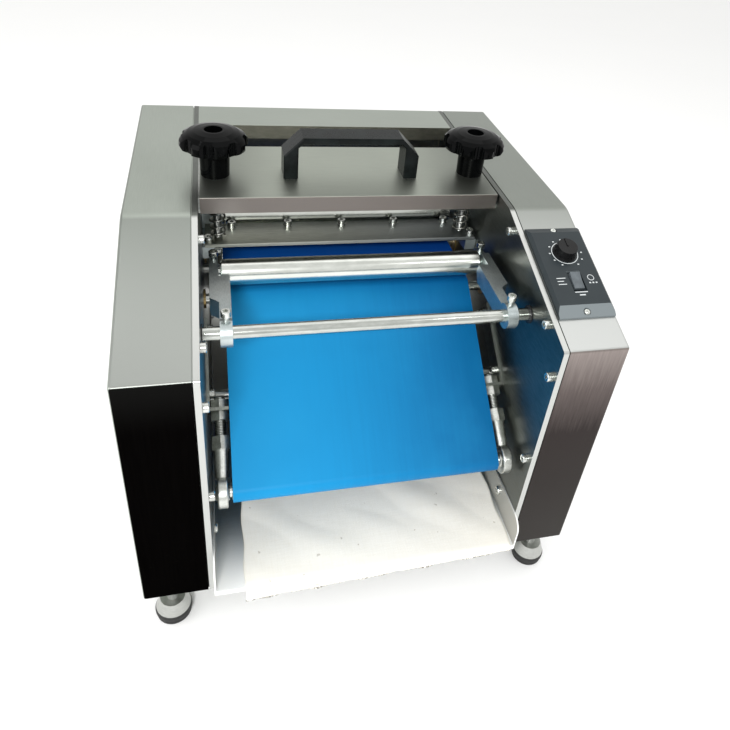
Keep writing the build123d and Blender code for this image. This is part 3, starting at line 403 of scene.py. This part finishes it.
def foot_cone_steel(name):
    """Turned foot: bright cone above, black rubber from the rim down."""
    finish = Finish(name)
    low, high = (Vector(corner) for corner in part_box("foot_cones"))
    rubber = finish.axis("Z").below(low.z + 0.28 * (high.z - low.z), 0.0003)
    speck = finish.noise(finish.stretched(1, 1, 6), 260.0, 3.0, 0.6)
    metal = finish.mix(speck, (0.34, 0.345, 0.33), (0.62, 0.63, 0.60))
    colour = finish.mix(rubber, metal, (0.014, 0.014, 0.014))
    uneven = 0.24 + speck * 0.14 + rubber * 0.3
    return finish.set(Base_Color=colour, Metallic=1.0 - rubber, Roughness=uneven,
                      Normal=finish.bump(speck, 0.00004, 0.5))


foot_cone_finish = foot_cone_steel("foot_cone_steel")


def machined_aluminium(name):
    """Milled bar with fine crossing tool marks."""
    finish = Finish(name, Metallic=1.0)
    mill = finish.noise(finish.stretched(6, 1, 6), 260.0, 3.0, 0.6)
    cloud = finish.noise(finish.place(), 40.0, 3.0, 0.5)
    colour = finish.mix((mill * 0.5 + cloud * 0.5).above(0.5, 0.2), (0.38, 0.43, 0.44), (0.60, 0.66, 0.66))
    return finish.set(Base_Color=colour, Roughness=0.28 + mill * 0.18,
                      Normal=finish.bump(mill, 0.00004, 0.5))


arm_aluminium = machined_aluminium("arm_aluminium")


def coated_belt(name):
    """Smooth blue belt: faint lengthwise drag marks, a soft flour haze, and painted shade darker towards
    the right side and behind the press roller.
    """
    finish = Finish(name, Specular_IOR_Level=0.12)
    drag = finish.noise(finish.stretched(30, 1.5, 1.5), 9.0, 4.0, 0.6)
    haze = finish.noise(finish.place(), 14.0, 3.0, 0.5)
    # Painted shade: the belt darkens towards its right side.
    across = (finish.axis("X") / 0.25 + 0.5) * 0.9 + (drag - 0.5) * 0.15
    blue = finish.mix(across.above(0.55, 0.45), (0.008, 0.262, 0.560), (0.0015, 0.112, 0.290))
    blue = finish.mix(haze.above(0.58, 0.14) * 0.12, blue, (0.02, 0.33, 0.62))
    # Painted shade: the belt behind the press roller is deep blue.
    rear = finish.axis("Y").above(-0.012, 0.02)
    blue = finish.mix(rear * 0.85, blue, (0.003, 0.058, 0.36))
    fine = finish.noise(finish.place(), 900.0, 2.0, 0.5)
    return finish.set(Base_Color=blue, Roughness=0.36 + drag * 0.10, Normal=finish.bump(fine, 0.00002, 0.4))


belt_blue = coated_belt("coated_belt")


def panel_face(name):
    """Controller body in fine-grained dark slate plastic, with a painted highlight on its front-facing end.
    """
    finish = Finish(name, Specular_IOR_Level=0.3)
    grain = finish.noise(finish.place(), 1500.0, 2.0, 0.5)
    cloud = finish.noise(finish.place(), 60.0, 3.0, 0.5)
    colour = finish.mix(cloud * 0.6 + grain * 0.4, (0.014, 0.020, 0.023), (0.027, 0.036, 0.041))
    # Painted highlight: the end that faces the front is lighter.
    painted_highlight_end = finish.facing("Y").below(-0.42, 0.06)
    colour = finish.mix(painted_highlight_end, colour, (0.17, 0.195, 0.205))
    return finish.set(Base_Color=colour, Roughness=0.36 + grain * 0.1,
                      Normal=finish.bump(grain, 0.00004, 0.5))


panel_slate = panel_face("panel_body")


CLOTH_DROP = 0.020        # how far the cloth's space reaches below the tray floor
HANG_LEFT = 0.019         # how far the cloth hangs at its left edge
HANG_LOSS = 0.014         # how much less it hangs at its right edge
CLOTH_THICK = 0.0011
CLOTH_FOLD = 0.0035       # half the length of the bend over the tray's lip
LIP_CLEAR = 0.0009        # cloth to the face of the lip


def woven_canvas(name):
    """Plain-weave cotton canvas: crossing threads, slubs, a few floury stains."""
    finish = Finish(name, Sheen_Weight=0.15, Sheen_Roughness=0.5)
    warp = (finish.axis("X") * 5200.0).sine()
    weft = (finish.axis("Y") * 5200.0).sine()
    slub = finish.noise(finish.stretched(1, 9, 1), 60.0, 3.0, 0.6)
    slub_across = finish.noise(finish.stretched(9, 1, 1), 60.0, 3.0, 0.6)
    mottle = finish.noise(finish.place(), 16.0, 4.0, 0.6)
    weave = warp * weft * 0.5 + 0.5
    tone = weave * 0.22 + slub * 0.3 + slub_across * 0.3 + mottle * 0.3
    colour = finish.mix(tone.above(0.52, 0.25), (0.93, 0.895, 0.80), (1.0, 0.975, 0.90))
    low, high = (Vector(corner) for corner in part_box("canvas_cloth"))
    edge_drop = (finish.axis("X") - low.x) * (-HANG_LOSS / (high.x - low.x)) + HANG_LEFT
    edge = (finish.axis("Z") - (low.z + CLOTH_DROP) + edge_drop).below(0.0012, 0.0008)
    tuft = finish.noise(finish.stretched(1, 1, 0.3), 1000.0, 2.0, 0.6).above(0.50, 0.05)
    colour = finish.mix(edge * tuft, colour, (0.10, 0.08, 0.055))
    fleck = finish.noise(finish.place(), 130.0, 2.0, 0.5).above(0.735, 0.02)
    colour = finish.mix(fleck * 0.5, colour, (0.42, 0.36, 0.27))
    height = weave * 0.6 + slub * 0.6 + slub_across * 0.6
    return finish.set(Base_Color=colour, Roughness=0.88 + mottle * 0.08,
                      Normal=finish.bump(height, 0.0003, 0.6))


canvas = woven_canvas("woven_canvas")


def mark_paint(name):
    """White printed marks, slightly uneven."""
    finish = Finish(name)
    uneven = finish.noise(finish.place(), 800.0, 2.0, 0.5)
    colour = finish.mix(uneven, (0.50, 0.53, 0.54), (0.72, 0.75, 0.76))
    return finish.set(Base_Color=colour, Roughness=0.5 + uneven * 0.1)


print_white = mark_paint("printed_marks")

FINISHES = {
    casing_left_steel: ["casing_left"],
    casing_right_steel: ["casing_right"],
    plate_steel: ["side_plate_left", "side_plate_right"],
    cover_steel: ["rear_cover"],
    bridge_steel: ["press_bridge"],
    tray_steel: ["base_tray"],
    carriage_steel: ["carriage_tray", "scraper"],
    bracket_steel: ["tension_bracket_left", "tension_bracket_right", "belt_bed"],
    roller_steel: ["upper_roller", "anvil_roller", "drive_roller", "support_roller", "front_roller",
                   "press_roller"],
    rod_steel: ["pivot_rod", "press_axle"],
    drawn_steel: ["tie_bars", "bridge_ledges"],
    screw_steel: ["carriage_screws", "casing_screws", "tray_screws", "arm_screws", "panel_screws",
                  "handle_screws", "ledge_bolts", "bracket_screws"],
    plated_steel: ["tension_nuts", "rod_end_left", "rod_end_right"],
    foot_cone_finish: ["foot_cones"],
    incline_thread: ["tension_stud_left", "tension_stud_right"],
    upright_thread: ["knob_stud_left", "knob_stud_right", "foot_studs"],
    spring_steel: ["spring_left", "spring_right"],
    gear_steel: ["anvil_gear", "upper_gear"],
    bronze: ["shaft_bearings"],
    knob_plastic: ["knob_left", "knob_right"],
    handle_plastic: ["bridge_handle"],
    bush_plastic: ["pivot_bushes", "power_inlet"],
    rocker_plastic: ["rocker_switch"],
    dial_plastic: ["speed_dial"],
    motor_paint: ["gear_motor"],
    foot_rubber: ["foot_pads"],
    arm_aluminium: ["arm_left", "arm_right", "bearing_block_left", "bearing_block_right"],
    belt_blue: ["conveyor_belt"],
    panel_slate: ["control_panel"],
    canvas: ["canvas_cloth"],
}


def dress(thing, finish):
    """Give every material slot of a piece one finish."""
    slots = thing.material_slots
    if not slots:
        thing.data.materials.append(finish.material)
    for place in slots:
        place.link = "OBJECT"
        place.material = finish.material


for finish, names in FINISHES.items():
    for node_name in names:
        dress(NODES[node_name], finish)


# ---- Canvas cloth ----------------------------------------------------------
def over_the_lip(u, front, floor):
    """(Y, Z) of the smooth cloth at a distance u from the bottom of its space, along the cloth."""
    if u < CLOTH_DROP - CLOTH_FOLD:
        return front - LIP_CLEAR, floor - (CLOTH_DROP - u)
    if u < CLOTH_DROP + CLOTH_FOLD:
        turn = (u - CLOTH_DROP + CLOTH_FOLD) / (2 * CLOTH_FOLD) * pi / 2
        return (front - LIP_CLEAR + CLOTH_FOLD * (1 - cos(turn)),
                floor - CLOTH_FOLD + CLOTH_FOLD * sin(turn))
    return front + (u - CLOTH_DROP), floor


def cloth_mesh():
    """Loose canvas: flat on the tray, over the lip, with soft waves and a frayed front edge."""
    low, high = (Vector(corner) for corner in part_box("canvas_cloth"))
    front = Vector(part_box("base_tray")[0]).y
    floor = low.z + CLOTH_DROP
    across, along = 132, 150
    width = high.x - low.x
    run = (high.y - front) + CLOTH_DROP
    mesh = bmesh.new()
    grid = []
    for j in range(along + 1):
        row = []
        for i in range(across + 1):
            t = i / across
            x = low.x + width * t
            hang = HANG_LEFT - HANG_LOSS * t + 0.0012 * sin(t * 31.0) + 0.0008 * sin(t * 77.0 + 1.0)
            frayed = 0.0006 * random.uniform(-1, 1)
            start = CLOTH_DROP - hang
            u = start + (run - start) * j / along + (frayed if j == 0 else 0.0)
            y, z = over_the_lip(u, front, floor)
            lie = min(max((u - 0.024) / 0.05, 0.0), 1.0)
            wave = 0.0014 * (sin(y * 46.0 + 3.0 * t) * sin(t * 9.0 + 1.3) + 0.6 * sin(y * 90.0 + t * 21.0))
            z += max(lie * wave, -0.0002) + 0.0004
            row.append(mesh.verts.new((x + 0.0008 * sin(u * 120.0 + t * 3) * (abs(t - 0.5) > 0.49), y, z)))
        grid.append(row)
    for j in range(along):
        for i in range(across):
            mesh.faces.new((grid[j][i], grid[j][i + 1], grid[j + 1][i + 1], grid[j + 1][i]))
    data = bpy.data.meshes.new("canvas_sheet")
    mesh.to_mesh(data)
    mesh.free()
    sheet = bpy.data.objects.new("canvas_sheet", data)
    bpy.context.collection.objects.link(sheet)
    for face in data.polygons:
        face.use_smooth = True
    thicken = sheet.modifiers.new("cloth thickness", "SOLIDIFY")
    thicken.thickness = CLOTH_THICK
    thicken.offset = 1.0
    dress(sheet, canvas)
    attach(sheet, "frame_body")
    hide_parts("canvas_cloth")
    return sheet


cloth_mesh()

# ---- Springs get their own copy of their mesh -------------------------------
for name in ("spring_left", "spring_right"):
    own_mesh(NODES[name])

# ---- Printed marks on the controller ---------------------------------------
dial_low, dial_high = (Vector(corner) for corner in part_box("speed_dial"))
NOSE_DROP, SLOPE_RUN = 51.0, 158.0
SLOPE_FALL = NOSE_DROP / SLOPE_RUN
UP_SLOPE = Vector((0, 1, SLOPE_FALL)).normalized()
OUT_OF_SLOPE = Vector((0, -SLOPE_FALL, 1)).normalized()
ACROSS = Vector((1, 0, 0))


def panel_plane():
    """Centre of the controller's face and how far it stands out of the slope."""
    panel_low, panel_high = (Vector(corner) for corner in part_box("control_panel"))
    centre = (panel_low + panel_high) / 2
    face = max((NODES["control_panel"].matrix_world @ v.co).dot(OUT_OF_SLOPE)
               for v in NODES["control_panel"].data.vertices)
    return centre + OUT_OF_SLOPE * (face - centre.dot(OUT_OF_SLOPE))


FACE_CENTRE = panel_plane()


PRINT_LOW, PRINT_HIGH = 0.00005, 0.00012    # the print's two heights above the face


def on_face(x, up, lift=PRINT_LOW):
    """A place on the controller's face, measured from its centre in metres."""
    return FACE_CENTRE + ACROSS * x + UP_SLOPE * up + OUT_OF_SLOPE * lift


def face_strip(mesh, start, end, width):
    """Thin flat stroke between two places on the face."""
    direction = (Vector((*end, 0)) - Vector((*start, 0))).normalized()
    side = Vector((-direction.y, direction.x, 0)) * width / 2
    corners = [(start[0] + side.x, start[1] + side.y), (end[0] + side.x, end[1] + side.y),
               (end[0] - side.x, end[1] - side.y), (start[0] - side.x, start[1] - side.y)]
    low = [mesh.verts.new(on_face(x, up)) for x, up in corners]
    high = [mesh.verts.new(on_face(x, up, PRINT_HIGH)) for x, up in corners]
    mesh.faces.new(high)
    for i in range(4):
        mesh.faces.new((low[i], low[(i + 1) % 4], high[(i + 1) % 4], high[i]))


def face_ring(mesh, centre, radius, width, steps=72):
    for k in range(steps):
        a, b = 2 * pi * k / steps, 2 * pi * (k + 1) / steps
        start = (centre[0] + radius * cos(a), centre[1] + radius * sin(a))
        end = (centre[0] + radius * cos(b), centre[1] + radius * sin(b))
        face_strip(mesh, start, end, width)


def add_piece(name, mesh, finish, body, replaces=None):
    data = bpy.data.meshes.new(name)
    mesh.to_mesh(data)
    mesh.free()
    thing = bpy.data.objects.new(name, data)
    bpy.context.collection.objects.link(thing)
    dress(thing, finish)
    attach(thing, body)
    if replaces:
        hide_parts(replaces)
    return thing


DIAL_RING_R, DIAL_MARK_R, DIAL_MARKS = 0.0127, 0.0160, 11


def printed_scale():
    """Ring, marks round the dial and short generic lines beside the switch."""
    mesh = bmesh.new()
    dial = (dial_low + dial_high) / 2 - FACE_CENTRE
    dial_at = (dial.x, dial.dot(UP_SLOPE))
    face_ring(mesh, dial_at, DIAL_RING_R, 0.0007)
    for k in range(DIAL_MARKS):
        angle = radians(240 - 30 * k)
        start = (dial_at[0] + DIAL_MARK_R * cos(angle), dial_at[1] + DIAL_MARK_R * sin(angle))
        end = (start[0] + 0.0017, start[1])
        face_strip(mesh, start, end, 0.0012)
    rocker_low, rocker_high = (Vector(corner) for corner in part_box("rocker_switch"))
    rocker = (rocker_low + rocker_high) / 2 - FACE_CENTRE
    rx, ru = rocker.x, rocker.dot(UP_SLOPE)
    left = rx - 0.0190
    for row, length in enumerate((0.0088, 0.0062, 0.0080)):
        up = ru + 0.0035 - 0.0034 * row
        face_strip(mesh, (left, up), (left + length, up), 0.0008)
    face_strip(mesh, (rx - 0.0062, ru - 0.0126), (rx + 0.0062, ru - 0.0126), 0.0009)
    face_strip(mesh, (rx - 0.0028, ru - 0.0158), (rx + 0.0030, ru - 0.0158), 0.0012)
    for k in range(3):
        dot = rx + 0.0115 + 0.0032 * k
        face_strip(mesh, (dot, ru - 0.0028), (dot + 0.0017, ru - 0.0028), 0.0014)
    face_ring(mesh, (rx + 0.0150, ru + 0.0030), 0.0030, 0.0006, 40)
    return add_piece("panel_print", mesh, print_white, "frame_body")


printed_scale()

# ---- Room and lights --------------------------------------------------------
low_corner, high_corner = (Vector(corner) for corner in CAD_BOX)


def floor_plane():
    mesh = bmesh.new()
    bmesh.ops.create_grid(mesh, x_segments=1, y_segments=1, size=6.0)
    data = bpy.data.meshes.new("floor")
    mesh.to_mesh(data)
    mesh.free()
    floor = bpy.data.objects.new("floor", data)
    floor.location.z = low_corner.z - 0.0002
    bpy.context.collection.objects.link(floor)
    pale = Finish("pale_floor", Roughness=0.9)
    soft = pale.noise(pale.place(), 3.0, 2.0, 0.5)
    pale.set(Base_Color=pale.mix(soft, (0.955, 0.955, 0.955), (0.975, 0.975, 0.975)))
    floor.data.materials.append(pale.material)


floor_plane()

world = bpy.data.worlds.new("studio")
bpy.context.scene.world = world
world.use_nodes = True
backdrop = next(n for n in world.node_tree.nodes if n.type == "BACKGROUND")
backdrop.inputs["Color"].default_value = (1.0, 1.0, 0.985, 1)
backdrop.inputs["Strength"].default_value = 0.9


def soft_light(name, place, aim, size, power, tint=(1, 1, 1)):
    data = bpy.data.lights.new(name, "AREA")
    data.shape = "RECTANGLE"
    data.size, data.size_y = size
    data.energy = power
    data.color = tint
    lamp = bpy.data.objects.new(name, data)
    lamp.location = place
    lamp.rotation_euler = (Vector(aim) - Vector(place)).to_track_quat("-Z", "Y").to_euler()
    bpy.context.collection.objects.link(lamp)


soft_light("overhead", (0.45, 0.45, 1.9), (0.1, -0.1, 0.25), (2.2, 1.2), 5.0)
soft_light("front_fill", (-0.5, -1.7, 1.5), (0, -0.1, 0.1), (0.45, 0.22), 24.0)
soft_light("left_window", (-1.6, -0.6, 1.1), (0, 0, 0.2), (0.9, 0.9), 7.0)
soft_light("sparkle", (-0.55, 0.35, 1.5), (0, 0, 0.3), (0.05, 0.05), 0.30)
soft_light("sparkle_right", (0.5, -0.9, 1.3), (0, 0, 0.3), (0.05, 0.05), 0.45)

# ---- Camera -----------------------------------------------------------------
CAMERA_PLACE = (-0.12598, -0.58793, 0.66471)
CAMERA_TURN = (56.49664, -6.41851, -13.85603)    # degrees about X, Y and Z
SENSOR_MM, LENS_MM = 36.0, 33.856323
LENS_SHIFT = (-0.059748, -0.125797)

lens = bpy.data.cameras.new("studio_camera")
lens.sensor_width = SENSOR_MM
lens.lens = LENS_MM
lens.shift_x, lens.shift_y = LENS_SHIFT
lens.clip_start = 0.02
camera = bpy.data.objects.new("studio_camera", lens)
camera.location = CAMERA_PLACE
camera.rotation_euler = [radians(angle) for angle in CAMERA_TURN]
bpy.context.collection.objects.link(camera)
bpy.context.scene.camera = camera
bpy.context.scene.view_settings.view_transform = "Standard"
